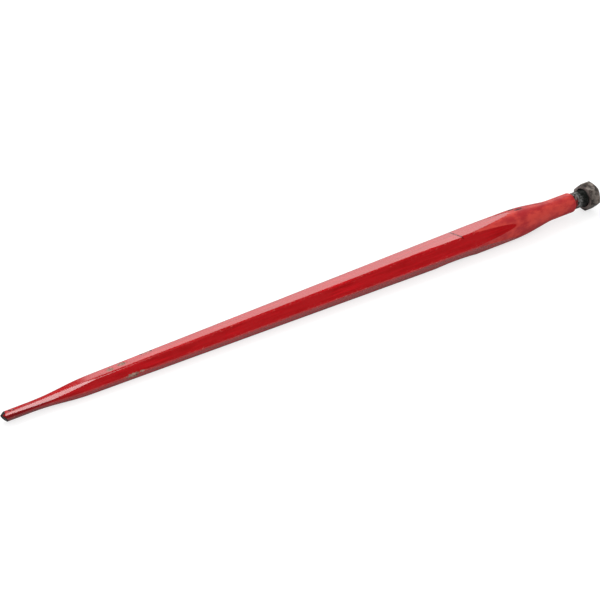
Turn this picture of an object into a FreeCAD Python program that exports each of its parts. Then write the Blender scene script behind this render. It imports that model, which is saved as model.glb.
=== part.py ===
import FreeCAD, Part

import math
import os

# Bale spear: a forged hexagonal bar with a drawn point, a round taper that seats in a
# conical bush, a neck and a threaded stud, all one piece, and the nut that pulls the
# taper home. Millimetres. The axis of the bar is X, with the origin where the taper is
# largest, the stud towards +X, the tip towards -X and a flat of the bar downwards.

# Lengths along the bar
blade_length = 935.0          # tip to the large end of the taper
point_length = 119.0          # tip to where the drawn point meets the full bar
blunt_length = 61.5           # nearly parallel end of the point
point_blend = 500.0           # side radius where the point changes its slope

# Hexagonal section
tip_flats = 14.3              # across flats at the tip
root_flats = 24.4             # across flats where the point ends
shank_flats = 41.0            # across flats where the slope of the flats eases
seat_flats = 46.0             # across flats at the large end of the taper
shank_length = 210.0          # from there to the large end of the taper
shank_blend = 1500.0          # side radius there
swell_length = 115.0          # where the flats start to swell into the round
swell_end = 28.0              # where they are round, both from the large end
swell_blend = 2000.0          # side radius where the swell starts
edge_radius = 4.0             # rolled edges of the hexagon

# Taper, neck and stud
seat_diameter = 49.0          # large end, and the round that trims the edges of the bar
neck_diameter = 33.5
taper_length = 60.0
neck_length = 52.5
seat_blend = 400.0            # side radius from the bar into the taper
neck_blend = 150.0            # side radius from the taper into the neck
neck_edge = 2.5               # rounded end of the neck
stud_diameter = 28.0          # M28 x 1.5, drawn plain at its major diameter
stud_length = 52.5
stud_chamfer = 1.6

# Blunt end of the point: domed, cut off obliquely below, with a turned-over lip above
nose_length = 8.5
nose_front = 8.4              # diameter of the dome at the very tip
nose_round = 5.0              # side radius above the lip
lip_height = 3.4              # lip above the axis
lip_root_angle = 14.0         # where on the side radius the lip starts
oblique_run = 6.6             # how far the oblique face runs back
nose_roll = -28.5             # the lip leans to the far side

# Flat pressed into the upper side, level with the axis
pad_length = 64.0             # runs out where its level meets the sloping flat
pad_to_seat = 136.0
pad_slant = 17.5              # its end leans towards the tip on the far side

# Shallow press mark across a lower edge
mark_length = 85.0
mark_depth = 1.9
mark_to_seat = 150.0
mark_angle = 240.0            # about X, from +Y towards +Z

# Hexagon nut
nut_flats = 41.0
nut_height = 22.0
nut_face_inset = 1.0          # washer face inside the flats
nut_chamfer_angle = 30.0
nut_bore_chamfer = 1.2
nut_roll = 12.0               # turned from the hexagon of the bar
nut_gap = 28.5                # end of the neck to the nut
thread_clearance = 0.15       # between the plain stud and the plain bore

overrun = 10.0                # how far a cutting shape goes past what it cuts

axis = FreeCAD.Vector(1, 0, 0)
origin = FreeCAD.Vector(0, 0, 0)
tip_x = -blade_length
neck_end_x = taper_length + neck_length
stud_end_x = neck_end_x + stud_length
seat_radius = seat_diameter / 2
neck_radius = neck_diameter / 2
stud_radius = stud_diameter / 2
nut_x = neck_end_x + nut_gap
corner_ratio = 1 / math.cos(math.radians(30))
tip_corner = tip_flats / 2 * corner_ratio


def point(x, z):
    return FreeCAD.Vector(x, 0, z)


def lines(points):
    return [Part.LineSegment(a, b).toShape() for a, b in zip(points, points[1:])]


def rounded_lines(corners, radii):
    """Straight edges through the corners, with a tangent arc of the given radius at each."""
    edges = []
    start = corners[0]
    for before, corner, after, radius in zip(corners, corners[1:], corners[2:], radii):
        back = before - corner
        onward = after - corner
        half_turn = (math.pi - back.getAngle(onward)) / 2
        reach = min(radius * math.tan(half_turn), 0.45 * min(back.Length, onward.Length))
        radius = reach / math.tan(half_turn)
        back.normalize()
        onward.normalize()
        centre = corner + (back + onward).normalize() * math.hypot(reach, radius)
        arc_start = corner + back * reach
        arc_middle = centre + (corner - centre).normalize() * radius
        arc_end = corner + onward * reach
        edges.append(Part.LineSegment(start, arc_start).toShape())
        edges.append(Part.Arc(arc_start, arc_middle, arc_end).toShape())
        start = arc_end
    edges.append(Part.LineSegment(start, corners[-1]).toShape())
    return edges


def quarter_arc(centre, radius, first_angle, last_angle):
    """Arc in the XZ plane; angles in degrees from +X towards +Z."""
    angles = (first_angle, (first_angle + last_angle) / 2, last_angle)
    around = [math.radians(angle) for angle in angles]
    points = [centre + point(radius * math.cos(a), radius * math.sin(a)) for a in around]
    return Part.Arc(*points).toShape()


def revolved(edges):
    return Part.Face(Part.Wire(edges)).revolve(origin, axis, 360)


def extruded_both_ways(edges, half_width):
    slab = Part.Face(Part.Wire(edges)).extrude(FreeCAD.Vector(0, 2 * half_width, 0))
    slab.translate(FreeCAD.Vector(0, -half_width, 0))
    return slab


def half_flats(x):
    """Half the width across flats at x, from the point to the large end of the taper."""
    shank_x = -shank_length
    if x < shank_x:
        rise = (shank_flats - root_flats) / 2 / (blade_length - point_length - shank_length)
    else:
        rise = (seat_flats - shank_flats) / 2 / shank_length
    return shank_flats / 2 + rise * (x - shank_x)


def flat_line(swells):
    """Side view of one flat, past both ends of the forging."""
    end_x = stud_end_x + overrun
    corners = [
        point(tip_x - overrun, tip_flats / 2),
        point(tip_x + blunt_length, tip_flats / 2),
        point(tip_x + point_length, root_flats / 2),
        point(-shank_length, half_flats(-shank_length)),
    ]
    blends = [point_blend, point_blend, shank_blend]
    if swells:
        start_height = half_flats(-swell_length)
        rise = (seat_radius - start_height) / (swell_length - swell_end)
        corners.append(point(-swell_length, start_height))
        corners.append(point(end_x, start_height + rise * (end_x + swell_length)))
        blends.append(swell_blend)
    else:
        corners.append(point(end_x, half_flats(end_x)))
    return rounded_lines(corners, blends)


def flat_pair(lower_swells):
    """All that lies between two opposite flats."""
    upper = flat_line(True)
    lower = [edge.mirror(origin, FreeCAD.Vector(0, 0, 1)) for edge in flat_line(lower_swells)]
    closing = []
    for end in (0, -1):
        closing += lines([upper[end].Vertexes[end].Point, lower[end].Vertexes[end].Point])
    outline = Part.__sortEdges__(upper + closing + lower)
    return extruded_both_ways(outline, seat_flats)


def hexagonal_bar():
    """Six flats; all but the one below swell into the round before the taper."""
    bar = flat_pair(False)
    for turn in (60, 120):
        other = flat_pair(True)
        other.rotate(origin, axis, turn)
        bar = bar.common(other)
    rolled = [edge for edge in bar.Edges if edge.BoundBox.XLength > 0.001]
    return bar.makeFillet(min(edge_radius, 0.4 * tip_flats), rolled)


def shank_envelope():
    """Round shape that trims the bar into the taper, the neck and the stud."""
    corners = [
        point(tip_x - overrun, seat_radius),
        point(0, seat_radius),
        point(taper_length, neck_radius),
        point(neck_end_x, neck_radius),
        point(neck_end_x, stud_radius),
    ]
    edges = rounded_lines(corners, [seat_blend, neck_blend, neck_edge])
    edges += lines([
        corners[-1],
        point(stud_end_x - stud_chamfer, stud_radius),
        point(stud_end_x, stud_radius - stud_chamfer),
        point(stud_end_x, 0),
        point(tip_x - overrun, 0),
        corners[0],
    ])
    return revolved(edges)


def nose_dome():
    """Rounds the end of the point all about."""
    front_radius = min(nose_front / 2, 0.8 * tip_corner)
    drop = tip_corner - front_radius
    radius = (nose_length ** 2 + drop ** 2) / (2 * drop)
    start_x = tip_x + nose_length
    last_angle = 90 + math.degrees(math.asin(nose_length / radius))
    arc = quarter_arc(point(start_x, tip_corner - radius), radius, 90, last_angle)
    edges = [arc] + lines([
        point(tip_x, front_radius),
        point(tip_x, 0),
        point(stud_end_x + overrun, 0),
        point(stud_end_x + overrun, 2 * seat_diameter),
        point(start_x, 2 * seat_diameter),
        point(start_x, tip_corner),
    ])
    return revolved(edges)


def nose_side():
    """Side view of the end: a round top, the lip, and the oblique face below it."""
    round_radius = min(nose_round, 0.9 * nose_length)
    centre = point(tip_x + nose_length, tip_corner - round_radius)
    arc = quarter_arc(centre, round_radius, 90, 180 - lip_root_angle)
    lip_root = arc.Vertexes[-1].Point
    lip = point(tip_x, lip_height)
    slant = oblique_run / (lip_height + tip_corner)
    deep = 2 * seat_diameter
    edges = [arc] + lines([
        lip_root,
        lip,
        point(tip_x + slant * (deep + lip_height), -deep),
        point(stud_end_x + deep, -deep),
        point(stud_end_x + deep, deep),
        point(tip_x + nose_length, deep),
        point(tip_x + nose_length, tip_corner),
    ])
    side = extruded_both_ways(edges, seat_diameter)
    side.rotate(origin, axis, nose_roll)
    return side


def pressed_pad():
    """What the press took off the upper side of the bar."""
    start_x = -pad_to_seat - pad_length
    corner = FreeCAD.Vector(start_x - overrun, -seat_diameter, half_flats(start_x))
    pad = Part.makeBox(pad_length + overrun, 2 * seat_diameter, seat_diameter, corner)
    pad.rotate(FreeCAD.Vector(-pad_to_seat, 0, 0), FreeCAD.Vector(0, 0, 1), pad_slant)
    return pad


def press_mark():
    """Wide shallow scoop, round in side view, across one edge of the bar."""
    radius = (mark_length ** 2 / 4 + mark_depth ** 2) / (2 * mark_depth)
    edge_rise = half_flats(-mark_to_seat) * corner_ratio - edge_radius * (corner_ratio - 1)
    centre = FreeCAD.Vector(-mark_to_seat, -seat_diameter, edge_rise - mark_depth + radius)
    scoop = Part.makeCylinder(radius, 2 * seat_diameter, centre, FreeCAD.Vector(0, 1, 0))
    scoop.rotate(origin, axis, mark_angle - 90)
    return scoop


def spear_bar():
    bar = hexagonal_bar().common(shank_envelope())
    bar = bar.common(nose_dome()).common(nose_side())
    bar = bar.cut(pressed_pad()).cut(press_mark())
    return bar


def hex_nut():
    corner = nut_flats / 2 * corner_ratio
    angles = [math.radians(60 * i) for i in range(7)]
    outline = [FreeCAD.Vector(nut_x, corner * math.cos(a), corner * math.sin(a)) for a in angles]
    prism = Part.Face(Part.makePolygon(outline)).extrude(axis * nut_height)
    face_radius = nut_flats / 2 - nut_face_inset
    outer = 1.2 * corner
    fall = (outer - face_radius) * math.tan(math.radians(nut_chamfer_angle))
    far_x = nut_x + nut_height
    chamfers = revolved(lines([
        point(nut_x, 0),
        point(nut_x, face_radius),
        point(nut_x + fall, outer),
        point(far_x - fall, outer),
        point(far_x, face_radius),
        point(far_x, 0),
        point(nut_x, 0),
    ]))
    bore_radius = stud_radius + thread_clearance
    mouth_radius = bore_radius + nut_bore_chamfer
    bore = revolved(lines([
        point(nut_x - overrun, 0),
        point(nut_x - overrun, mouth_radius),
        point(nut_x, mouth_radius),
        point(nut_x + nut_bore_chamfer, bore_radius),
        point(far_x - nut_bore_chamfer, bore_radius),
        point(far_x, mouth_radius),
        point(far_x + overrun, mouth_radius),
        point(far_x + overrun, 0),
        point(nut_x - overrun, 0),
    ]))
    nut = prism.common(chamfers).cut(bore)
    nut.rotate(origin, axis, nut_roll)
    return nut


def single_solid(shape):
    solids = shape.Solids
    assert len(solids) == 1
    return solids[0]


os.makedirs("parts", exist_ok=True)
single_solid(spear_bar()).exportStep("parts/spear_bar.step")
single_solid(hex_nut()).exportStep("parts/hex_nut.step")
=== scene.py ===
import math

import bmesh
import bpy
from mathutils import Matrix, Vector, noise


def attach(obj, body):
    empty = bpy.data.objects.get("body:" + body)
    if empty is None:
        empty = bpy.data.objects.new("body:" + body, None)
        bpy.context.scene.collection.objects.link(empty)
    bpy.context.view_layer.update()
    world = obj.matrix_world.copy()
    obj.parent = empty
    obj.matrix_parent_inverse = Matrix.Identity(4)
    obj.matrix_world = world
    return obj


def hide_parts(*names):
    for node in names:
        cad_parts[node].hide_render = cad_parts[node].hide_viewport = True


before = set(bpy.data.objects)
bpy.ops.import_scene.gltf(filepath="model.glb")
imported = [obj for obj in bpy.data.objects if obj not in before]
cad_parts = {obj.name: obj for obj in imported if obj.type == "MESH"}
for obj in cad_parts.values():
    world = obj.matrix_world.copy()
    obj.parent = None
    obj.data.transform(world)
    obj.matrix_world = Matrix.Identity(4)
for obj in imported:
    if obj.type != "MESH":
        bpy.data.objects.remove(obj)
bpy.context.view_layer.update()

mm = 0.001
print("frame loaded")


# Small helpers for node trees

def newTree(name, kind, inputs, outputs):
    tree = bpy.data.node_groups.new(name, kind)
    for label, socketType, value in inputs:
        socket = tree.interface.new_socket(label, in_out="INPUT", socket_type=socketType)
        if value is not None:
            socket.default_value = value
    for label, socketType in outputs:
        tree.interface.new_socket(label, in_out="OUTPUT", socket_type=socketType)
    start = tree.nodes.new("NodeGroupInput")
    end = tree.nodes.new("NodeGroupOutput")
    return tree, start.outputs, end.inputs


def plug(tree, value, socket):
    if isinstance(value, bpy.types.NodeSocket):
        tree.links.new(value, socket)
    else:
        socket.default_value = value


def addNode(tree, kind, **settings):
    node = tree.nodes.new(kind)
    for name, value in settings.items():
        setattr(node, name, value)
    return node


def calc(tree, operation, *values):
    node = addNode(tree, "ShaderNodeMath", operation=operation)
    for value, socket in zip(values, node.inputs):
        plug(tree, value, socket)
    return node.outputs[0]


def vectorCalc(tree, operation, *values):
    node = addNode(tree, "ShaderNodeVectorMath", operation=operation)
    for value, socket in zip(values, node.inputs):
        plug(tree, value, socket)
    return node.outputs["Value" if operation == "LENGTH" else "Vector"]


def smallest(tree, first, *others):
    for other in others:
        first = calc(tree, "MINIMUM", first, other)
    return first


def pick(tree, test, yes, no):
    node = addNode(tree, "GeometryNodeSwitch", input_type="FLOAT")
    plug(tree, test, node.inputs["Switch"])
    plug(tree, yes, node.inputs["True"])
    plug(tree, no, node.inputs["False"])
    return node.outputs[0]


def isLess(tree, a, b):
    node = addNode(tree, "FunctionNodeCompare", data_type="FLOAT", operation="LESS_THAN")
    plug(tree, a, node.inputs["A"])
    plug(tree, b, node.inputs["B"])
    return node.outputs[0]


def stored(tree, name):
    node = addNode(tree, "GeometryNodeInputNamedAttribute", data_type="FLOAT")
    node.inputs["Name"].default_value = name
    return node.outputs["Attribute"]


def tubeOnSpine(tree, given):
    # a closed tube of any radius along the spine, for a tree to give its section
    toCurve = addNode(tree, "GeometryNodeMeshToCurve")
    plug(tree, given["Geometry"], toCurve.inputs[0])
    ring = addNode(tree, "GeometryNodeCurvePrimitiveCircle")
    plug(tree, given["Around"], ring.inputs["Resolution"])
    ring.inputs["Radius"].default_value = 0.01
    tube = addNode(tree, "GeometryNodeCurveToMesh")
    plug(tree, toCurve.outputs[0], tube.inputs["Curve"])
    plug(tree, ring.outputs["Curve"], tube.inputs["Profile Curve"])
    tube.inputs["Fill Caps"].default_value = True
    return tube.outputs[0]


def aroundX(tree, x, radius, angle):
    # the point at that radius and angle about the X axis
    node = addNode(tree, "ShaderNodeCombineXYZ")
    plug(tree, x, node.inputs["X"])
    plug(tree, calc(tree, "MULTIPLY", radius, calc(tree, "COSINE", angle)), node.inputs["Y"])
    plug(tree, calc(tree, "MULTIPLY", radius, calc(tree, "SINE", angle)), node.inputs["Z"])
    return node.outputs[0]


def storeNumber(tree, geometry, name, value):
    node = addNode(tree, "GeometryNodeStoreNamedAttribute", data_type="FLOAT", domain="POINT")
    node.inputs["Name"].default_value = name
    plug(tree, geometry, node.inputs["Geometry"])
    plug(tree, value, node.inputs["Value"])
    return node.outputs[0]


def endTree(tree, geometry, given, result):
    real = addNode(tree, "GeometryNodeRealizeInstances")
    plug(tree, geometry, real.inputs[0])
    finish = addNode(tree, "GeometryNodeSetMaterial")
    plug(tree, real.outputs[0], finish.inputs["Geometry"])
    plug(tree, given["Material"], finish.inputs["Material"])
    plug(tree, finish.outputs[0], result[0])


def bakeTree(obj, tree, **values):
    # runs the tree on the object and keeps the result as a plain mesh
    modifier = obj.modifiers.new(tree.name, "NODES")
    modifier.node_group = tree
    for item in tree.interface.items_tree:
        if item.in_out == "INPUT" and item.name in values:
            modifier[item.identifier] = values[item.name]
    bpy.context.view_layer.update()
    graph = bpy.context.evaluated_depsgraph_get()
    mesh = bpy.data.meshes.new_from_object(obj.evaluated_get(graph), depsgraph=graph)
    obj.modifiers.clear()
    obj.data = mesh
    return mesh


def spineObject(name, stations, attributes):
    # a line of points along X that carries the section's sizes
    mesh = bpy.data.meshes.new(name)
    places = [(x * mm, 0, 0) for x in stations]
    mesh.from_pydata(places, [(i, i + 1) for i in range(len(places) - 1)], [])
    for label, heights in attributes.items():
        layer = mesh.attributes.new(label, "FLOAT", "POINT")
        layer.data.foreach_set("value", [height * mm for height in heights])
    obj = bpy.data.objects.new(name, mesh)
    bpy.context.scene.collection.objects.link(obj)
    return obj


def closeAndTurnOut(mesh):
    work = bmesh.new()
    work.from_mesh(mesh)
    bmesh.ops.remove_doubles(work, verts=work.verts, dist=0.0005 * mm)
    bmesh.ops.recalc_face_normals(work, faces=work.faces)
    for face in work.faces:
        face.smooth = True
    work.to_mesh(mesh)
    work.free()


def steps(first, last, gap):
    count = max(1, round((last - first) / gap))
    return [first + (last - first) * i / count for i in range(count)]


# Forged bar, in millimetres along and about X; the flats' sizes are half across flats

bar = dict(
    tip=-935.0, blunt=-873.5, pointEnd=-816.0, shank=-210.0, swell=-115.0, roundFrom=-28.0,
    coneEnd=60.0, neckEnd=112.5,
    tipFlats=7.15, rootFlats=12.2, shankFlats=20.5, seatFlats=23.0,
    seatRadius=24.5, neckRadius=16.75, edgeRadius=4.0, neckEdge=2.5,
    pointBlend=500.0, shankBlend=1500.0, swellBlend=2000.0, seatBlend=400.0, neckBlend=150.0,
    padStart=-200.0, padEnd=-136.0, padSlant=17.5,
    facetAngle=133.0, facetTip=0.2, facetDepth=1.0, facetDeepest=-858.0, facetEnd=-792.0,
    markAt=-150.0, markLength=85.0, markDepth=1.9, markAngle=240.0,
    around=168,
    noseLength=8.5, noseFront=4.2, noseRound=5.0, lipHeight=3.4, lipRoot=14.0,
    obliqueRun=6.6, noseRoll=-28.5,
    wave=0.16, waveLength=55.0, ripple=0.035, rippleLength=7.0,
    clear=99.0, turnedFade=0.25, shornRim=2.4, noseZone=12.0,
)
corner = 1 / math.cos(math.pi / 6)
tipCorner = bar["tipFlats"] * corner


def easedLine(corners, radii):
    # height along a bent line whose corners are eased by the given radii
    slopes = [(b[1] - a[1]) / (b[0] - a[0]) for a, b in zip(corners, corners[1:])]
    eases = []
    for (x, _), before, after, radius in zip(corners[1:], slopes, slopes[1:], radii):
        reach = radius * math.tan(abs(math.atan(after) - math.atan(before)) / 2)
        eases.append((x, reach, after - before))

    def height(at):
        value = corners[0][1] + slopes[0] * (at - corners[0][0])
        for x, reach, turn in eases:
            if at > x + reach:
                value += turn * (at - x)
            elif at > x - reach:
                value += turn * (at - x + reach) ** 2 / (4 * reach)
        return value

    return height


shankRise = (bar["seatFlats"] - bar["shankFlats"]) / -bar["shank"]
swellFlats = bar["shankFlats"] + shankRise * (bar["swell"] - bar["shank"])
padLevel = bar["shankFlats"] + shankRise * (bar["padStart"] - bar["shank"])
pointCorners = [
    (bar["tip"], bar["tipFlats"]), (bar["blunt"], bar["tipFlats"]),
    (bar["pointEnd"], bar["rootFlats"]), (bar["shank"], bar["shankFlats"]),
]
pointRadii = [bar["pointBlend"], bar["pointBlend"], bar["shankBlend"]]
flatHeight = easedLine(
    pointCorners + [(bar["swell"], swellFlats), (bar["roundFrom"], bar["seatRadius"])],
    pointRadii + [bar["swellBlend"]])
underHeight = easedLine(pointCorners + [(0, bar["seatFlats"])], pointRadii)
coneRadius = easedLine(
    [(bar["tip"], bar["seatRadius"]), (0, bar["seatRadius"]),
     (bar["coneEnd"], bar["neckRadius"]), (bar["neckEnd"], bar["neckRadius"])],
    [bar["seatBlend"], bar["neckBlend"]])


def roundRadius(x):
    radius = coneRadius(x)
    run = x - bar["tip"]
    if run < bar["noseLength"]:
        drop = tipCorner - bar["noseFront"]
        sweep = (bar["noseLength"] ** 2 + drop ** 2) / (2 * drop)
        back = min(bar["noseLength"] - run, bar["noseLength"])
        radius = tipCorner - sweep + math.sqrt(sweep ** 2 - back ** 2)
    past = x - (bar["neckEnd"] - bar["neckEdge"])
    if past > 0:
        bulge = math.sqrt(max(bar["neckEdge"] ** 2 - past ** 2, 0))
        radius = bar["neckRadius"] - bar["neckEdge"] + bulge
    return radius


def markHeight(x):
    if abs(x - bar["markAt"]) > bar["markLength"] / 2 + 3:
        return bar["clear"]
    depth = bar["markDepth"]
    radius = (bar["markLength"] ** 2 / 4 + depth ** 2) / (2 * depth)
    edgeRise = underHeight(bar["markAt"]) * corner - bar["edgeRadius"] * (corner - 1)
    return edgeRise - depth + radius - math.sqrt(radius ** 2 - (x - bar["markAt"]) ** 2)


def facetHeight(x):
    # a narrow hammered flat along one rolled edge of the point
    if x > bar["facetEnd"]:
        return bar["clear"]
    past = (x - bar["facetDeepest"]) / (bar["facetEnd"] - bar["facetDeepest"])
    before = (x - bar["tip"]) / (bar["facetDeepest"] - bar["tip"])
    depth = bar["facetTip"] + (bar["facetDepth"] - bar["facetTip"]) * min(before, 1)
    depth *= 1 - max(past, 0) ** 2
    aside = math.cos(math.radians(bar["facetAngle"] - 120))
    rolled = min(bar["edgeRadius"], 0.8 * flatHeight(x))
    return (flatHeight(x) - rolled) * corner * aside + rolled - depth


def hexBarTree():
    # turns a spine into a bar of hexagonal section with rolled edges, trimmed to a round
    tree, given, result = newTree(
        "hexBar", "GeometryNodeTree",
        [("Geometry", "NodeSocketGeometry", None), ("Around", "NodeSocketInt", 168),
         ("Edge Radius", "NodeSocketFloat", 0.004), ("Mark Angle", "NodeSocketFloat", 4.19),
         ("Facet Angle", "NodeSocketFloat", 2.34), ("Pad End", "NodeSocketFloat", -0.136),
         ("Pad Slant", "NodeSocketFloat", 0.3),
         ("Material", "NodeSocketMaterial", None)],
        [("Geometry", "NodeSocketGeometry")])
    tube = tubeOnSpine(tree, given)

    place = addNode(tree, "ShaderNodeSeparateXYZ")
    plug(tree, addNode(tree, "GeometryNodeInputPosition").outputs[0], place.inputs[0])
    angle = calc(tree, "ARCTAN2", place.outputs["Z"], place.outputs["Y"])
    sixth = math.pi / 3
    turns = calc(tree, "DIVIDE", calc(tree, "SUBTRACT", angle, math.pi / 6), sixth)
    offTurn = calc(tree, "SUBTRACT", turns, calc(tree, "ROUND", turns))
    fromFlat = calc(tree, "MULTIPLY", calc(tree, "ABSOLUTE", offTurn), sixth)

    fromUnder = calc(tree, "ABSOLUTE", calc(tree, "ADD", angle, math.pi / 2))
    isUnder = isLess(tree, fromUnder, math.pi / 6)
    flat = pick(tree, isUnder, stored(tree, "under"), stored(tree, "flat"))
    onFlat = calc(tree, "DIVIDE", flat, calc(tree, "COSINE", fromFlat))
    rolled = smallest(tree, given["Edge Radius"], calc(tree, "MULTIPLY", flat, 0.8))
    inner = calc(tree, "SUBTRACT", flat, rolled)
    hub = calc(tree, "MULTIPLY", inner, corner)
    fromCorner = calc(tree, "SUBTRACT", math.pi / 6, fromFlat)
    across = calc(tree, "MULTIPLY", hub, calc(tree, "SINE", fromCorner))
    squares = calc(tree, "SUBTRACT", calc(tree, "MULTIPLY", rolled, rolled),
                   calc(tree, "MULTIPLY", across, across))
    onRoll = calc(tree, "ADD", calc(tree, "MULTIPLY", hub, calc(tree, "COSINE", fromCorner)),
                  calc(tree, "SQRT", calc(tree, "MAXIMUM", squares, 0.0)))
    side = calc(tree, "MULTIPLY", calc(tree, "TANGENT", fromFlat), flat)
    straight = isLess(tree, side, calc(tree, "MULTIPLY", inner, math.tan(math.pi / 6)))
    hexagon = pick(tree, straight, onFlat, onRoll)
    up = calc(tree, "MAXIMUM", calc(tree, "SINE", angle), 0.001)
    pad = calc(tree, "DIVIDE", stored(tree, "pad"), up)
    aside = calc(tree, "MULTIPLY", calc(tree, "MULTIPLY", pad, calc(tree, "COSINE", angle)),
                 calc(tree, "TANGENT", given["Pad Slant"]))
    onPad = isLess(tree, calc(tree, "ADD", place.outputs["X"], aside), given["Pad End"])
    pad = pick(tree, onPad, pad, bar["clear"] * mm)
    toMark = calc(tree, "COSINE", calc(tree, "SUBTRACT", angle, given["Mark Angle"]))
    mark = calc(tree, "DIVIDE", stored(tree, "mark"), calc(tree, "MAXIMUM", toMark, 0.001))
    toFacet = calc(tree, "COSINE", calc(tree, "SUBTRACT", angle, given["Facet Angle"]))
    facet = calc(tree, "DIVIDE", stored(tree, "facet"), calc(tree, "MAXIMUM", toFacet, 0.001))
    radius = smallest(tree, hexagon, stored(tree, "round"), pad, mark, facet)

    placed = aroundX(tree, place.outputs["X"], radius, angle)
    moved = addNode(tree, "GeometryNodeSetPosition")
    plug(tree, tube, moved.inputs["Geometry"])
    plug(tree, placed, moved.inputs["Position"])
    # how near a point is to a rolled edge, for the painted glints there
    nearness = calc(tree, "SUBTRACT", 1.0, calc(tree, "DIVIDE", fromCorner, math.radians(14)))
    solid = storeNumber(tree, moved.outputs[0], "edge", calc(tree, "MAXIMUM", nearness, 0.0))
    # where the round of the taper has taken over from the flats
    over = calc(tree, "DIVIDE", calc(tree, "SUBTRACT", hexagon, stored(tree, "round")),
                bar["turnedFade"] * mm)
    solid = storeNumber(tree, solid, "turned",
                        calc(tree, "MINIMUM", calc(tree, "MAXIMUM", over, 0.0), 1.0))
    endTree(tree, solid, given, result)
    return tree


def noseFace(rise):
    # how far back the end face lies at a height above the axis, in the lip's own direction
    tip = bar["tip"]
    lip = bar["lipHeight"]
    hubHeight = tipCorner - bar["noseRound"]
    root = math.radians(180 - bar["lipRoot"])
    rootX = tip + bar["noseLength"] + bar["noseRound"] * math.cos(root)
    rootHeight = hubHeight + bar["noseRound"] * math.sin(root)
    if rise < lip:
        return tip + bar["obliqueRun"] / (lip + tipCorner) * (lip - rise)
    if rise < rootHeight:
        return tip + (rootX - tip) * (rise - lip) / (rootHeight - lip)
    inside = bar["noseRound"] ** 2 - (rise - hubHeight) ** 2
    return tip + bar["noseLength"] - math.sqrt(max(inside, 0))


def surfacePoint(x, degrees):
    # nearest point of the plain hexagonal surface, to place chips on
    away = math.radians((degrees - 30 + 30) % 60 - 30)
    radius = min(flatHeight(x) / math.cos(away), roundRadius(x))
    around = math.radians(degrees)
    return Vector((x, radius * math.cos(around), radius * math.sin(around))) * mm


# Chips and knocks in the enamel: x, angle, half length, half width, depth
chips = dict(
    bare=[
        (-766.0, 94.0, 5.6, 3.6, 0.16), (-745.5, 84.0, 8.0, 3.6, 0.16),
        (-737.0, 186.0, 11.0, 4.6, 0.22), (-722.0, 176.0, 5.0, 1.4, 0.12),
        (-704.0, 66.0, 9.0, 1.4, 0.12),
    ],
    dark=[
        (-731.0, 190.0, 2.4, 1.8, 0.1), (-712.0, 64.0, 3.0, 1.4, 0.1),
        (-696.0, 68.0, 2.6, 1.2, 0.1), (-14.0, 72.0, 7.0, 2.4, 0.1), (-3.0, 88.0, 8.0, 2.0, 0.1),
        (-922.0, 84.0, 2.6, 1.6, 0.2), (-917.0, 98.0, 2.0, 1.2, 0.2),
    ],
)


def makeBar(material):
    tip = bar["tip"]
    noseEnd = tip + bar["noseZone"]
    padReach = 12.5 * math.tan(math.radians(bar["padSlant"]))
    padFirst = bar["padEnd"] - padReach
    padLast = bar["padEnd"] + padReach
    neckRound = bar["neckEnd"] - bar["neckEdge"]
    bend = bar["blunt"] - 24
    # first, last and gap of the sections: closer where the shape turns or is chipped
    spans = [
        (tip, noseEnd, 0.35), (noseEnd, bend, 1.6), (bend, -790, 2.5), (-790, -775, 3),
        (-775, -690, 1.3), (-690, -205, 4.5), (-205, padFirst, 1.5), (padFirst, padLast, 0.5),
        (padLast, bar["swell"], 1.5), (bar["swell"], neckRound, 2.0),
        (neckRound, bar["neckEnd"], 0.25),
    ]
    stations = [tip - 0.01 * i for i in (6, 5, 4, 3, 2, 1)]
    for first, last, gap in spans:
        stations += steps(first, last, gap)
    stations += [bar["neckEnd"]]
    front = [bar["noseFront"] * share for share in (0.08, 0.25, 0.42, 0.6, 0.76, 0.9)]
    rounds = front + [roundRadius(x) for x in stations[len(front):]]
    spine = spineObject("forged_bar", stations, {
        "flat": [flatHeight(x) for x in stations],
        "under": [underHeight(x) for x in stations],
        "round": rounds,
        "pad": [padLevel if x <= padLast else bar["clear"] for x in stations],
        "mark": [markHeight(x) for x in stations],
        "facet": [facetHeight(x) for x in stations],
    })
    mesh = bakeTree(spine, hexBarTree(), **{
        "Around": bar["around"], "Edge Radius": bar["edgeRadius"] * mm,
        "Mark Angle": math.radians(bar["markAngle"]), "Material": material,
        "Facet Angle": math.radians(bar["facetAngle"]), "Pad End": bar["padEnd"] * mm,
        "Pad Slant": math.radians(bar["padSlant"])})

    roll = math.radians(bar["noseRoll"])
    lipUp = Vector((0, -math.sin(roll), math.cos(roll)))
    pits = [(surfacePoint(x, a), l * mm, w * mm, d * mm)
            for rows in chips.values() for x, a, l, w, d in rows]
    sheared = mesh.attributes.new("sheared", "FLOAT", "POINT")
    for vertex in mesh.vertices:
        co = vertex.co
        if co.x < noseEnd * mm:
            face = noseFace(co.dot(lipUp) / mm) * mm
            fromRim = (face - co.x) / (bar["shornRim"] * mm) + 1
            sheared.data[vertex.index].value = min(max(fromRim, 0), 1)
            co.x = max(co.x, face)
        out = Vector((0, co.y, co.z))
        if out.length < 1e-6 or co.x > neckRound * mm:
            continue
        out.normalize()
        sink = bar["wave"] * (0.5 + 0.5 * noise.noise(co / (bar["waveLength"] * mm)))
        sink += bar["ripple"] * noise.noise(co / (bar["rippleLength"] * mm) + Vector((9, 4, 2)))
        sink = max(sink, 0) * mm
        for place, length, width, depth in pits:
            if abs(co.x - place.x) < length * 1.2:
                away = co - place
                reach = math.hypot(away.x / length, Vector((0, away.y, away.z)).length / width)
                sink += depth * min(max((1.15 - reach) / 0.3, 0), 1)
        vertex.co = co - out * sink
    closeAndTurnOut(mesh)
    return spine


# Stud with its thread

stud = dict(start=111.0, end=165.0, crest=14.0, depth=0.92, pitch=1.5, chamfer=1.6,
            fade=3.0, around=96, perPitch=9)


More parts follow.
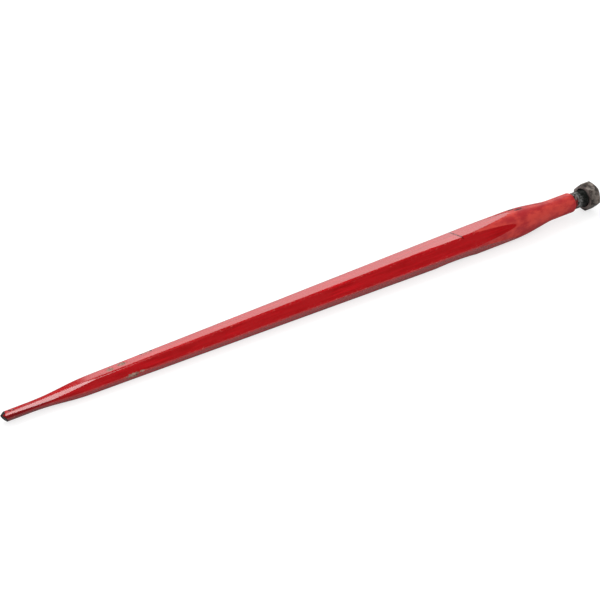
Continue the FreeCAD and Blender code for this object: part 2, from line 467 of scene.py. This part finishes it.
def threadTree():
    # cuts a helical V thread with flat crests and roots into a plain tube on a spine
    tree, given, result = newTree(
        "studThread", "GeometryNodeTree",
        [("Geometry", "NodeSocketGeometry", None), ("Around", "NodeSocketInt", 96),
         ("Pitch", "NodeSocketFloat", 0.0015), ("Thread Depth", "NodeSocketFloat", 0.0009),
         ("Worn", "NodeSocketFloat", 0.0001), ("Material", "NodeSocketMaterial", None)],
        [("Geometry", "NodeSocketGeometry")])
    tube = tubeOnSpine(tree, given)

    place = addNode(tree, "ShaderNodeSeparateXYZ")
    position = addNode(tree, "GeometryNodeInputPosition").outputs[0]
    plug(tree, position, place.inputs[0])
    angle = calc(tree, "ARCTAN2", place.outputs["Z"], place.outputs["Y"])
    turn = calc(tree, "SUBTRACT", calc(tree, "DIVIDE", place.outputs["X"], given["Pitch"]),
                calc(tree, "DIVIDE", angle, 2 * math.pi))
    phase = calc(tree, "FRACT", turn)
    fromMiddle = calc(tree, "ABSOLUTE", calc(tree, "SUBTRACT", phase, 0.5))
    fromRoot = calc(tree, "MULTIPLY", fromMiddle, 2.0)
    climb = calc(tree, "DIVIDE", calc(tree, "SUBTRACT", fromRoot, 0.22), 0.64)
    share = calc(tree, "MINIMUM", calc(tree, "MAXIMUM", climb, 0.0), 1.0)
    rough = addNode(tree, "ShaderNodeTexNoise")
    plug(tree, position, rough.inputs["Vector"])
    rough.inputs["Scale"].default_value = 420.0
    worn = calc(tree, "MULTIPLY", rough.outputs[0], given["Worn"])
    cut = calc(tree, "MULTIPLY", calc(tree, "SUBTRACT", 1.0, share), given["Thread Depth"])
    cut = calc(tree, "MULTIPLY", cut, stored(tree, "threaded"))
    radius = calc(tree, "SUBTRACT", calc(tree, "SUBTRACT", stored(tree, "round"), worn), cut)
    radius = calc(tree, "MAXIMUM", radius, 0.0005)
    placed = aroundX(tree, place.outputs["X"], radius, angle)
    moved = addNode(tree, "GeometryNodeSetPosition")
    plug(tree, tube, moved.inputs["Geometry"])
    plug(tree, placed, moved.inputs["Position"])
    endTree(tree, moved.outputs[0], given, result)
    return tree


def makeStud(material):
    gap = stud["pitch"] / stud["perPitch"]
    stations = steps(stud["start"], bar["neckEnd"], 0.5)
    stations += steps(bar["neckEnd"], stud["end"], gap) + [stud["end"]]
    endCrest = stud["crest"] - stud["chamfer"]
    crests = [min(stud["crest"], endCrest + stud["end"] - x) for x in stations]
    threaded = [
        min(max((x - bar["neckEnd"]) / stud["fade"], 0), 1) * min(1, (stud["end"] - x) / 0.8)
        for x in stations]
    stations += [stud["end"] + 0.01]
    crests += [0.6]
    threaded += [0.0]
    spine = spineObject("stud_thread", stations, {
        "round": crests, "threaded": [share / mm for share in threaded]})
    mesh = bakeTree(spine, threadTree(), **{
        "Around": stud["around"], "Pitch": stud["pitch"] * mm,
        "Thread Depth": stud["depth"] * mm, "Worn": 0.12 * mm, "Material": material})
    for vertex in mesh.vertices:
        vertex.co.x = min(vertex.co.x, stud["end"] * mm)
    closeAndTurnOut(mesh)
    return spine


# Nut

nut = dict(start=141.0, height=22.0, flats=20.5, face=19.5, chamfer=30.0, bore=14.15,
           mouth=1.2, roll=12.0, around=180, soften=0.5, dent=0.12)


def makeNut(material):
    nearX = nut["start"]
    farX = nearX + nut["height"]
    fall = math.tan(math.radians(nut["chamfer"]))
    outX = [nearX] + [nearX + 0.35 * i for i in range(1, 12)]
    outX += [nearX + 5 + 1.0 * i for i in range(12)]
    outX += [farX - 0.35 * i for i in range(11, 0, -1)] + [farX]
    sections = []
    for x in outX:
        capped = nut["face"] + min(x - nearX, farX - x) / fall
        sections.append((x, capped, True))
    bore = nut["bore"]
    inside = [(farX, bore + nut["mouth"])] + [(farX - nut["mouth"], bore)]
    inside += [(nearX + nut["mouth"], bore), (nearX, bore + nut["mouth"])]
    work = bmesh.new()
    rings = []
    hexInner = nut["flats"] - nut["soften"]
    for x, radius, outer in sections + [(x, r, False) for x, r in inside]:
        ringVerts = []
        for i in range(nut["around"]):
            angle = 2 * math.pi * i / nut["around"]
            reach = radius
            if outer:
                away = (angle + math.pi / 6) % (math.pi / 3) - math.pi / 6
                flatReach = nut["flats"] / math.cos(away)
                hub = hexInner * corner
                over = abs(math.pi / 6 - abs(away))
                inArc = nut["soften"] ** 2 - (hub * math.sin(over)) ** 2
                cornerReach = hub * math.cos(over) + math.sqrt(max(inArc, 0)) if inArc > 0 else 1e3
                reach = min(radius, flatReach, cornerReach)
            turned = angle + math.radians(nut["roll"] + 30)
            ringVerts.append(work.verts.new((
                x * mm, reach * math.cos(turned) * mm, reach * math.sin(turned) * mm)))
        rings.append(ringVerts)
    rings.append(rings[0])
    for first, second in zip(rings, rings[1:]):
        for i in range(nut["around"]):
            j = (i + 1) % nut["around"]
            work.faces.new((first[i], first[j], second[j], second[i]))
    for vertex in work.verts:
        out = Vector((0, vertex.co.y, vertex.co.z))
        if out.length > 16 * mm:
            sink = nut["dent"] * (0.5 + 0.5 * noise.noise(vertex.co / (9 * mm))) * mm
            vertex.co -= out.normalized() * sink
    mesh = bpy.data.meshes.new("hex_nut_forged")
    work.to_mesh(mesh)
    work.free()
    closeAndTurnOut(mesh)
    mesh.materials.append(material)
    obj = bpy.data.objects.new("forged_nut", mesh)
    bpy.context.scene.collection.objects.link(obj)
    return obj


# Shared shader effects

def mottleGroup():
    tree, given, result = newTree(
        "mottle", "ShaderNodeTree",
        [("Vector", "NodeSocketVector", None), ("Scale", "NodeSocketFloat", 60.0),
         ("Low", "NodeSocketFloat", 0.4), ("High", "NodeSocketFloat", 0.6)],
        [("Mask", "NodeSocketFloat")])
    spread = addNode(tree, "ShaderNodeTexNoise")
    plug(tree, given["Vector"], spread.inputs["Vector"])
    plug(tree, given["Scale"], spread.inputs["Scale"])
    spread.inputs["Detail"].default_value = 5.0
    spread.inputs["Roughness"].default_value = 0.6
    cut = addNode(tree, "ShaderNodeMapRange", interpolation_type="SMOOTHSTEP")
    plug(tree, spread.outputs[0], cut.inputs["Value"])
    plug(tree, given["Low"], cut.inputs["From Min"])
    plug(tree, given["High"], cut.inputs["From Max"])
    plug(tree, cut.outputs[0], result[0])
    return tree


def patchGroup():
    tree, given, result = newTree(
        "ragged patch", "ShaderNodeTree",
        [("Vector", "NodeSocketVector", None), ("Centre", "NodeSocketVector", None),
         ("Half Size", "NodeSocketVector", None), ("Ragged", "NodeSocketFloat", 0.5)],
        [("Mask", "NodeSocketFloat")])
    away = vectorCalc(tree, "SUBTRACT", given["Vector"], given["Centre"])
    reach = vectorCalc(tree, "LENGTH", vectorCalc(tree, "DIVIDE", away, given["Half Size"]))
    torn = addNode(tree, "ShaderNodeTexNoise")
    plug(tree, given["Vector"], torn.inputs["Vector"])
    torn.inputs["Scale"].default_value = 260.0
    torn.inputs["Detail"].default_value = 4.0
    shift = calc(tree, "MULTIPLY", calc(tree, "SUBTRACT", torn.outputs[0], 0.5), given["Ragged"])
    edge = calc(tree, "ADD", reach, calc(tree, "MULTIPLY", shift, 3.0))
    cut = addNode(tree, "ShaderNodeMapRange", interpolation_type="SMOOTHSTEP")
    plug(tree, edge, cut.inputs["Value"])
    cut.inputs["From Min"].default_value = 1.1
    cut.inputs["From Max"].default_value = 0.75
    plug(tree, cut.outputs[0], result[0])
    return tree


mottle = mottleGroup()
patch = patchGroup()


def newMaterial(name):
    material = bpy.data.materials.new(name)
    material.use_nodes = True
    tree = material.node_tree
    place = addNode(tree, "ShaderNodeTexCoord").outputs["Object"]
    return material, tree, tree.nodes["Principled BSDF"], place


def mottled(tree, vector, scale, low, high):
    node = addNode(tree, "ShaderNodeGroup", node_tree=mottle)
    plug(tree, vector, node.inputs["Vector"])
    node.inputs["Scale"].default_value = scale
    node.inputs["Low"].default_value = low
    node.inputs["High"].default_value = high
    return node.outputs[0]


def stretched(tree, vector, scale):
    node = addNode(tree, "ShaderNodeMapping")
    plug(tree, vector, node.inputs["Vector"])
    node.inputs["Scale"].default_value = scale
    return node.outputs[0]


def blendColour(tree, share, low, high):
    node = addNode(tree, "ShaderNodeMix", data_type="RGBA")
    plug(tree, share, node.inputs["Factor"])
    plug(tree, low, node.inputs["A"])
    plug(tree, high, node.inputs["B"])
    return node.outputs["Result"]


def blendNumber(tree, share, low, high):
    node = addNode(tree, "ShaderNodeMix", data_type="FLOAT")
    plug(tree, share, node.inputs["Factor"])
    plug(tree, low, node.inputs["A"])
    plug(tree, high, node.inputs["B"])
    return node.outputs["Result"]


def patches(tree, vector, rows, ragged):
    total = None
    for x, angle, length, width, _ in rows:
        node = addNode(tree, "ShaderNodeGroup", node_tree=patch)
        plug(tree, vector, node.inputs["Vector"])
        node.inputs["Centre"].default_value = surfacePoint(x, angle)
        node.inputs["Half Size"].default_value = (length * mm, width * mm, width * mm)
        node.inputs["Ragged"].default_value = ragged
        mask = node.outputs[0]
        total = mask if total is None else calc(tree, "MAXIMUM", total, mask)
    return total


def ramp(tree, value, first, last):
    # 0 before first, 1 after last
    node = addNode(tree, "ShaderNodeMapRange", interpolation_type="SMOOTHSTEP")
    plug(tree, value, node.inputs["Value"])
    node.inputs["From Min"].default_value = first
    node.inputs["From Max"].default_value = last
    return node.outputs[0]


def axisOf(tree, vector, axis):
    split = addNode(tree, "ShaderNodeSeparateXYZ")
    plug(tree, vector, split.inputs[0])
    return split.outputs[axis]


def alongX(tree, vector, first, last):
    return ramp(tree, axisOf(tree, vector, "X"), first * mm, last * mm)


def flip(tree, value):
    return calc(tree, "SUBTRACT", 1.0, value)


def product(tree, first, *others):
    for other in others:
        first = calc(tree, "MULTIPLY", first, other)
    return first


def bump(tree, height, distance, strength, shader):
    node = addNode(tree, "ShaderNodeBump")
    plug(tree, height, node.inputs["Height"])
    node.inputs["Distance"].default_value = distance
    node.inputs["Strength"].default_value = strength
    plug(tree, node.outputs["Normal"], shader.inputs["Normal"])


def enamelMaterial():
    material, tree, shader, place = newMaterial("red enamel")
    streaks = mottled(tree, stretched(tree, place, (0.05, 1, 1)), 260.0, 0.35, 0.7)
    clouds = mottled(tree, place, 22.0, 0.35, 0.7)
    red = blendColour(tree, streaks, (0.42, 0.001, 0.003, 1), (0.64, 0.004, 0.010, 1))
    red = blendColour(tree, clouds, red, (0.52, 0.0015, 0.005, 1))
    # painted shade: the point is darker on its lower side
    point = alongX(tree, place, -800, -925)
    low = flip(tree, ramp(tree, axisOf(tree, place, "Z"), 0.0032, 0.0056))
    red = blendColour(tree, product(tree, point, low, 0.8), red, (0.13, 0.001, 0.003, 1))
    # painted highlights: pale glints flecked along the rolled edges, short of the taper
    nearEdge = addNode(tree, "ShaderNodeAttribute", attribute_name="edge").outputs["Fac"]
    glintSpots = mottled(tree, stretched(tree, place, (0.4, 1, 1)), 420.0, 0.56, 0.66)
    ahead = flip(tree, alongX(tree, place, -90, -60))
    paintedGlints = product(tree, glintSpots, nearEdge, ahead, 0.6)
    red = blendColour(tree, paintedGlints, red, (0.66, 0.13, 0.11, 1))
    # painted shade: a dark line along the step at the end of the pressed pad, on top
    slant = math.tan(math.radians(bar["padSlant"]))
    fromEnd = calc(tree, "ADD", axisOf(tree, place, "X"),
                   calc(tree, "MULTIPLY", axisOf(tree, place, "Y"), slant))
    fromEnd = calc(tree, "ABSOLUTE", calc(tree, "ADD", fromEnd, (0.4 - bar["padEnd"]) * mm))
    padStepShade = product(tree, flip(tree, ramp(tree, fromEnd, 0.0006, 0.0018)),
                       ramp(tree, axisOf(tree, place, "Z"), 0.0175, 0.0192))
    red = blendColour(tree, calc(tree, "MULTIPLY", padStepShade, 0.85), red, (0.14, 0.002, 0.003, 1))
    # the taper and neck are duller and more orange where they have sat in the bush
    turned = addNode(tree, "ShaderNodeAttribute", attribute_name="turned").outputs["Fac"]
    seat = calc(tree, "MULTIPLY", turned, alongX(tree, place, -130, -100))
    rub = mottled(tree, stretched(tree, place, (0.5, 1, 1)), 65.0, 0.36, 0.62)
    worn = blendColour(tree, rub, (0.48, 0.006, 0.012, 1), (0.70, 0.045, 0.03, 1))
    red = blendColour(tree, seat, red, worn)
    bare = patches(tree, place, chips["bare"], 0.5)
    dark = patches(tree, place, chips["dark"], 0.6)
    shorn = addNode(tree, "ShaderNodeAttribute", attribute_name="sheared").outputs["Fac"]
    dark = calc(tree, "MAXIMUM", dark, ramp(tree, shorn, 0.35, 0.75))
    steel = blendColour(tree, mottled(tree, place, 300.0, 0.35, 0.65),
                        (0.20, 0.12, 0.085, 1), (0.46, 0.34, 0.27, 1))
    colour = blendColour(tree, calc(tree, "MULTIPLY", bare, 0.85), red, steel)
    colour = blendColour(tree, dark, colour, (0.03, 0.02, 0.018, 1))
    plug(tree, colour, shader.inputs["Base Color"])
    gloss = blendNumber(tree, clouds, 0.2, 0.26)
    gloss = blendNumber(tree, seat, gloss, 0.5)
    chipped = calc(tree, "MAXIMUM", bare, dark)
    gloss = blendNumber(tree, chipped, gloss, 0.6)
    plug(tree, gloss, shader.inputs["Roughness"])
    dull = calc(tree, "MAXIMUM", chipped, calc(tree, "MULTIPLY", seat, 0.85))
    plug(tree, calc(tree, "SUBTRACT", 1.0, dull), shader.inputs["Coat Weight"])
    shader.inputs["Coat Roughness"].default_value = 0.12
    peel = addNode(tree, "ShaderNodeTexNoise")
    plug(tree, place, peel.inputs["Vector"])
    peel.inputs["Scale"].default_value = 700.0
    peel.inputs["Detail"].default_value = 3.0
    bump(tree, peel.outputs[0], 0.00012, 0.35, shader)
    return material


def steelShader(tree, shader, place, colour, scale, roughness):
    rusty = mottled(tree, place, scale * 0.45, 0.5, 0.66)
    plug(tree, colour, shader.inputs["Base Color"])
    plug(tree, blendNumber(tree, rusty, roughness, 0.75), shader.inputs["Roughness"])
    plug(tree, calc(tree, "SUBTRACT", 0.6, calc(tree, "MULTIPLY", rusty, 0.5)),
         shader.inputs["Metallic"])
    grain = addNode(tree, "ShaderNodeTexNoise")
    plug(tree, place, grain.inputs["Vector"])
    grain.inputs["Scale"].default_value = 900.0
    grain.inputs["Detail"].default_value = 4.0
    bump(tree, grain.outputs[0], 0.0002, 0.5, shader)


def threadMaterial():
    material, tree, shader, place = newMaterial("thread steel")
    base = blendColour(tree, mottled(tree, place, 240.0, 0.4, 0.6),
                       (0.07, 0.075, 0.07, 1), (0.42, 0.42, 0.41, 1))
    # painted shade: near black where the stud goes into the nut, and dark brown in the corner by
    # the neck
    nutMouthShade = alongX(tree, place, 124, 134)
    neckCornerShade = flip(tree, alongX(tree, place, 114, 119))
    base = blendColour(tree, calc(tree, "MULTIPLY", nutMouthShade, 0.9), base, (0.006, 0.009, 0.006, 1))
    base = blendColour(tree, calc(tree, "MULTIPLY", neckCornerShade, 0.7), base, (0.03, 0.015, 0.012, 1))
    spray = product(tree, flip(tree, alongX(tree, place, 116, 123)),
                    mottled(tree, place, 150.0, 0.45, 0.6))
    base = blendColour(tree, spray, base, (0.40, 0.03, 0.03, 1))
    steelShader(tree, shader, place, base, 260.0, 0.36)
    return material


def nutMaterial():
    material, tree, shader, place = newMaterial("oxidised nut steel")
    base = blendColour(tree, mottled(tree, place, 130.0, 0.38, 0.66),
                       (0.06, 0.05, 0.045, 1), (0.34, 0.29, 0.25, 1))
    rusty = mottled(tree, place, 75.0, 0.52, 0.66)
    base = blendColour(tree, calc(tree, "MULTIPLY", rusty, 0.6), base, (0.15, 0.08, 0.05, 1))
    # scale rubbed off the faces that bear, its lighter mauve partly a painted reflection; painted
    # shade, near black, inside the bore
    face = flip(tree, alongX(tree, place, nut["start"] + 0.3, nut["start"] + 1.2))
    scuffAndSheen = product(tree, face, mottled(tree, place, 200.0, 0.3, 0.6), 0.6)
    base = blendColour(tree, scuffAndSheen, base, (0.36, 0.29, 0.28, 1))
    flatPlace = vectorCalc(tree, "MULTIPLY", place, (0, 1, 1))
    inside = flip(tree, ramp(tree, vectorCalc(tree, "LENGTH", flatPlace), 0.0156, 0.0165))
    base = blendColour(tree, inside, base, (0.004, 0.004, 0.004, 1))
    steelShader(tree, shader, place, base, 120.0, 0.45)
    return material


enamel = enamelMaterial()
threadSteel = threadMaterial()
nutSteel = nutMaterial()
print("materials made")

barPiece = makeBar(enamel)
print("bar made", len(barPiece.data.polygons), "faces")
studPiece = makeStud(threadSteel)
print("stud made", len(studPiece.data.polygons), "faces")
nutPiece = makeNut(nutSteel)
print("nut made", len(nutPiece.data.polygons), "faces")

for piece, node, slot in (
        (barPiece, "spear_bar", "red_enamel"), (studPiece, "spear_bar", "dark_steel"),
        (nutPiece, "hex_nut", "dark_steel")):
    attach(piece, "root")
    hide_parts(node)


# Studio: the bar lies on its lower flat, so the floor has that flat's slope

studio = dict(
    floorSlope=0.013696, floorAt=(-0.4, -0.017898), floorSize=60.0,
    ambient=1.0, floorColour=0.42, floorGlow=0.68,
    key=dict(aim=(-0.85, 0.0, 0.0), towards=(0.27, -0.53, 0.80), distance=1.3,
             width=0.42, height=0.35, power=2.5),
    top=dict(aim=(-0.3, 0.0, 0.0), towards=(-0.2, 0.5, 0.84), distance=2.4,
             width=1.6, height=0.9, power=14.0),
    back=dict(aim=(-0.15, 0.0, 0.0), towards=(0.495, 0.691, 0.527), distance=2.6,
              width=2.2, height=1.3, power=14.0),
)


def makeFloor():
    half = studio["floorSize"] / 2
    centreX, centreZ = studio["floorAt"]
    slope = studio["floorSlope"]
    corners = ((-half, -half), (half, -half), (half, half), (-half, half))
    mesh = bpy.data.meshes.new("floor")
    mesh.from_pydata(
        [(centreX + x, y, centreZ - slope * x) for x, y in corners], [], [(0, 1, 2, 3)])
    material = bpy.data.materials.new("white floor")
    material.use_nodes = True
    tree = material.node_tree
    shader = tree.nodes["Principled BSDF"]
    pale = studio["floorColour"]
    shader.inputs["Base Color"].default_value = (pale, pale, pale, 1)
    shader.inputs["Roughness"].default_value = 0.9
    shader.inputs["Specular IOR Level"].default_value = 0.0
    shader.inputs["Emission Color"].default_value = (1, 1, 1, 1)
    seen = addNode(tree, "ShaderNodeLightPath").outputs["Is Camera Ray"]
    plug(tree, calc(tree, "MULTIPLY", seen, studio["floorGlow"]),
         shader.inputs["Emission Strength"])
    mesh.materials.append(material)
    floor = bpy.data.objects.new("floor", mesh)
    bpy.context.scene.collection.objects.link(floor)


def makeSoftbox(name, box):
    lamp = bpy.data.lights.new(name, "AREA")
    lamp.shape = "RECTANGLE"
    lamp.size = box["width"]
    lamp.size_y = box["height"]
    lamp.energy = box["power"]
    obj = bpy.data.objects.new(name, lamp)
    towards = Vector(box["towards"]).normalized()
    along = (Vector((1, 0, 0)) - towards * towards.x).normalized()
    turn = Matrix((along, towards.cross(along), towards)).transposed()
    obj.location = Vector(box["aim"]) + towards * box["distance"]
    obj.rotation_euler = turn.to_euler()
    bpy.context.scene.collection.objects.link(obj)


def makeWorld():
    world = bpy.data.worlds.new("studio")
    world.use_nodes = True
    tree = world.node_tree
    tree.nodes.clear()
    out = addNode(tree, "ShaderNodeOutputWorld")
    sky = addNode(tree, "ShaderNodeBackground")
    seen = addNode(tree, "ShaderNodeLightPath").outputs["Is Camera Ray"]
    plug(tree, blendNumber(tree, seen, studio["ambient"], 1.0), sky.inputs["Strength"])
    world.cycles_visibility.glossy = False  # a dark studio, but for the softboxes
    plug(tree, sky.outputs[0], out.inputs["Surface"])
    bpy.context.scene.world = world


makeFloor()
for name in ("key", "top", "back"):
    makeSoftbox(name + " softbox", studio[name])
makeWorld()

view = dict(place=(-1.6734, -1.72237, 1.32162), looking=(0.495204, 0.690889, -0.526730),
            lens=100.02, sensor=36.0)
camera = bpy.data.objects.new("camera", bpy.data.cameras.new("camera"))
camera.data.lens = view["lens"]
camera.data.sensor_width = view["sensor"]
camera.location = view["place"]
camera.rotation_euler = Vector(view["looking"]).to_track_quat("-Z", "Y").to_euler()
camera.data.clip_end = 50.0
bpy.context.scene.collection.objects.link(camera)
bpy.context.scene.camera = camera
bpy.context.scene.view_settings.view_transform = "Standard"
print("studio ready")
